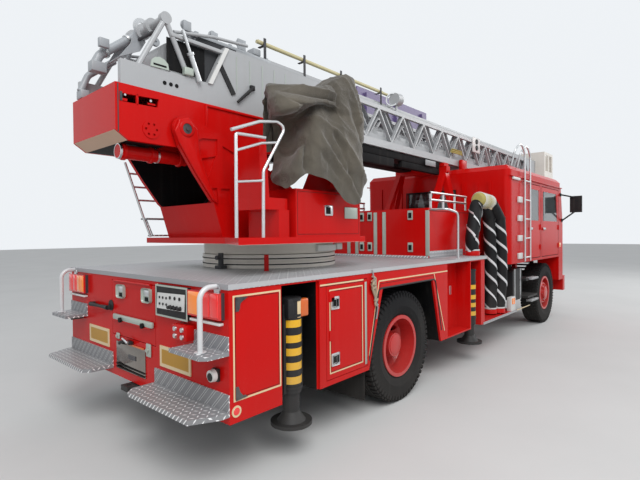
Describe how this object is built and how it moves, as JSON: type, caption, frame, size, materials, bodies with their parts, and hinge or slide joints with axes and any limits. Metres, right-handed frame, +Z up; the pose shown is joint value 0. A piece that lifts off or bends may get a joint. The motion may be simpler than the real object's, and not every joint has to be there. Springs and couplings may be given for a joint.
{
  "type": "aerial ladder fire engine",
  "caption": "Red crew-cab fire engine with a turntable ladder over a checkered deck, side outriggers, lockers and suction hoses.",
  "frame": {"origin": "middle of the bounding box at ground level, under the vehicle", "axes": "+X forward to the cab and the ladder's tip, +Y to the driver's left, +Z up"},
  "size_m": [10.68, 3.1, 3.7],
  "materials": {
    "red_paint": "gloss",
    "black_paint": "satin",
    "white_paint": "satin",
    "grey_paint": "satin",
    "checker_plate": "satin",
    "bright_tube": "brushed",
    "wheel_red": "satin",
    "tyre_rubber": "matte",
    "hose_rubber": "matte",
    "window_glass": "clear",
    "lamp_red": "gloss",
    "lamp_clear": "gloss",
    "panel_black": "matte",
    "seat_vinyl": "satin",
    "engine_iron": "matte",
    "mirror_black": "gloss",
    "canvas": "matte",
    "jack_paint": "satin",
    "board_blue": "satin"
  },
  "bodies": {
    "chassis": {"chassis_frame": "black_paint", "engine_block": "engine_iron", "rear_axle": "black_paint", "front_axle": "black_paint", "side_tanks": "black_paint", "rear_body": "red_paint", "deck_plate": "checker_plate", "rear_steps": "checker_plate", "slewing_ring": "grey_paint", "ladder_rest": "red_paint", "mid_locker": "red_paint", "suction_hoses": "hose_rubber", "cab_shell": "red_paint", "cab_roof": "red_paint", "cab_glass": "window_glass", "front_panel": "red_paint", "front_lamps": "lamp_clear", "cab_interior": "seat_vinyl", "mirrors": "mirror_black", "roof_ladder": "bright_tube", "signal_lamps": "lamp_red", "control_panel": "panel_black"},
    "turntable": {"turntable_frame": "red_paint", "operator_station": "red_paint", "station_rail": "bright_tube", "tarpaulin": "canvas"},
    "arm": {"elevating_frame": "red_paint", "base_ladder": "white_paint", "side_board": "board_blue"},
    "lift_barrel_pair": {"lift_barrels": "red_paint"},
    "lift_rod_pair": {"lift_rods": "bright_tube"},
    "second_section": {"second_ladder": "white_paint"},
    "third_section": {"third_ladder": "white_paint"},
    "fly_section": {"fly_ladder": "white_paint", "tip_basket": "grey_paint"},
    "hatch": {"rear_hatch": "red_paint"},
    "steer_right": {"knuckle_right": "black_paint"},
    "front_wheel_right": {"front_rim_right": "wheel_red", "front_tyre_right": "tyre_rubber"},
    "rear_wheel_right": {"rear_rim_right": "wheel_red", "rear_tyre_right": "tyre_rubber"},
    "front_door_body_right": {"front_door_right": "red_paint"},
    "rear_door_body_right": {"rear_door_right": "red_paint"},
    "locker_body_right": {"locker_door_right": "red_paint"},
    "rear_beam_right": {"rear_jack_beam_right": "jack_paint"},
    "rear_leg_right": {"rear_jack_leg_right": "jack_paint"},
    "front_beam_right": {"front_jack_beam_right": "jack_paint"},
    "front_leg_right": {"front_jack_leg_right": "jack_paint"},
    "steer_left": {"knuckle_left": "black_paint"},
    "front_wheel_left": {"front_rim_left": "wheel_red", "front_tyre_left": "tyre_rubber"},
    "rear_wheel_left": {"rear_rim_left": "wheel_red", "rear_tyre_left": "tyre_rubber"},
    "front_door_body_left": {"front_door_left": "red_paint"},
    "rear_door_body_left": {"rear_door_left": "red_paint"},
    "locker_body_left": {"locker_door_left": "red_paint"},
    "rear_beam_left": {"rear_jack_beam_left": "jack_paint"},
    "rear_leg_left": {"rear_jack_leg_left": "jack_paint"},
    "front_beam_left": {"front_jack_beam_left": "jack_paint"},
    "front_leg_left": {"front_jack_leg_left": "jack_paint"}
  },
  "joints": [
    {"name": "slew", "type": "hinge", "parent": "chassis", "child": "turntable", "pos_m": [-3.6, 0, 1.42], "axis": [0, 0, 1], "continuous": true},
    {"name": "elevate", "type": "hinge", "parent": "turntable", "child": "arm", "pos_m": [-4.827, 0, 2.409], "axis": [0, -1, 0], "range_deg": [0, 75]},
    {"name": "lift_swing", "type": "hinge", "parent": "turntable", "child": "lift_barrel_pair", "pos_m": [-4.36, 0, 1.69], "axis": [0, -1, 0], "range_deg": [0, 56.46]},
    {"name": "lift_stroke", "type": "slide", "parent": "lift_barrel_pair", "child": "lift_rod_pair", "axis": [0.8, 0, 0.6], "range_m": [0, 0.8992]},
    {"name": "second_extend", "type": "slide", "parent": "arm", "child": "second_section", "axis": [1, 0, 0], "range_m": [0, 6.6]},
    {"name": "third_extend", "type": "slide", "parent": "second_section", "child": "third_section", "axis": [1, 0, 0], "range_m": [0, 6.6]},
    {"name": "fly_extend", "type": "slide", "parent": "third_section", "child": "fly_section", "axis": [1, 0, 0], "range_m": [0, 6.6]},
    {"name": "hatch_hinge", "type": "hinge", "parent": "chassis", "child": "hatch", "pos_m": [-5.0683, 0, 1.231], "axis": [0, 1, 0], "range_deg": [0, 95]},
    {"name": "steering_right", "type": "hinge", "parent": "chassis", "child": "steer_right", "pos_m": [1.89, -0.85, 0.525], "axis": [0, 0, 1], "range_deg": [-33, 33]},
    {"name": "front_roll_right", "type": "hinge", "parent": "steer_right", "child": "front_wheel_right", "pos_m": [1.89, -1.04, 0.525], "axis": [0, 1, 0], "continuous": true},
    {"name": "rear_roll_right", "type": "hinge", "parent": "chassis", "child": "rear_wheel_right", "pos_m": [-3.005, -0.905, 0.525], "axis": [0, 1, 0], "continuous": true},
    {"name": "front_door_hinge_right", "type": "hinge", "parent": "chassis", "child": "front_door_body_right", "pos_m": [2.494, -1.2433, 1.76], "axis": [0, 0, 1], "range_deg": [0, 70]},
    {"name": "rear_door_hinge_right", "type": "hinge", "parent": "chassis", "child": "rear_door_body_right", "pos_m": [1.354, -1.2433, 1.76], "axis": [0, 0, 1], "range_deg": [0, 70]},
    {"name": "locker_hinge_right", "type": "hinge", "parent": "chassis", "child": "locker_body_right", "pos_m": [-3.625, -1.2483, 0.85], "axis": [0, 0, 1], "range_deg": [0, 100]},
    {"name": "rear_beam_slide_right", "type": "slide", "parent": "chassis", "child": "rear_beam_right", "axis": [0, -1, 0], "range_m": [0, 1.1]},
    {"name": "rear_leg_drop_right", "type": "slide", "parent": "rear_beam_right", "child": "rear_leg_right", "axis": [0, 0, -1], "range_m": [0, 0.4]},
    {"name": "front_beam_slide_right", "type": "slide", "parent": "chassis", "child": "front_beam_right", "axis": [0, -1, 0], "range_m": [0, 1.1]},
    {"name": "front_leg_drop_right", "type": "slide", "parent": "front_beam_right", "child": "front_leg_right", "axis": [0, 0, -1], "range_m": [0, 0.4]},
    {"name": "steering_left", "type": "hinge", "parent": "chassis", "child": "steer_left", "pos_m": [1.89, 0.85, 0.525], "axis": [0, 0, 1], "range_deg": [-33, 33]},
    {"name": "front_roll_left", "type": "hinge", "parent": "steer_left", "child": "front_wheel_left", "pos_m": [1.89, 1.04, 0.525], "axis": [0, 1, 0], "continuous": true},
    {"name": "rear_roll_left", "type": "hinge", "parent": "chassis", "child": "rear_wheel_left", "pos_m": [-3.005, 0.905, 0.525], "axis": [0, 1, 0], "continuous": true},
    {"name": "front_door_hinge_left", "type": "hinge", "parent": "chassis", "child": "front_door_body_left", "pos_m": [2.494, 1.2433, 1.76], "axis": [0, 0, -1], "range_deg": [0, 70]},
    {"name": "rear_door_hinge_left", "type": "hinge", "parent": "chassis", "child": "rear_door_body_left", "pos_m": [1.354, 1.2433, 1.76], "axis": [0, 0, -1], "range_deg": [0, 70]},
    {"name": "locker_hinge_left", "type": "hinge", "parent": "chassis", "child": "locker_body_left", "pos_m": [-3.625, 1.2483, 0.85], "axis": [0, 0, -1], "range_deg": [0, 100]},
    {"name": "rear_beam_slide_left", "type": "slide", "parent": "chassis", "child": "rear_beam_left", "axis": [0, 1, 0], "range_m": [0, 1.1]},
    {"name": "rear_leg_drop_left", "type": "slide", "parent": "rear_beam_left", "child": "rear_leg_left", "axis": [0, 0, -1], "range_m": [0, 0.4]},
    {"name": "front_beam_slide_left", "type": "slide", "parent": "chassis", "child": "front_beam_left", "axis": [0, 1, 0], "range_m": [0, 1.1]},
    {"name": "front_leg_drop_left", "type": "slide", "parent": "front_beam_left", "child": "front_leg_left", "axis": [0, 0, -1], "range_m": [0, 0.4]}
  ],
  "couplings": [
    {"joint": "lift_swing", "follows": "elevate", "ratio": 0.75014},
    {"joint": "lift_stroke", "follows": "elevate", "m_per_rad": 0.68544},
    {"joint": "third_extend", "follows": "second_extend", "ratio": 1},
    {"joint": "fly_extend", "follows": "second_extend", "ratio": 1},
    {"joint": "steering_left", "follows": "steering_right", "ratio": 1}
  ]
}
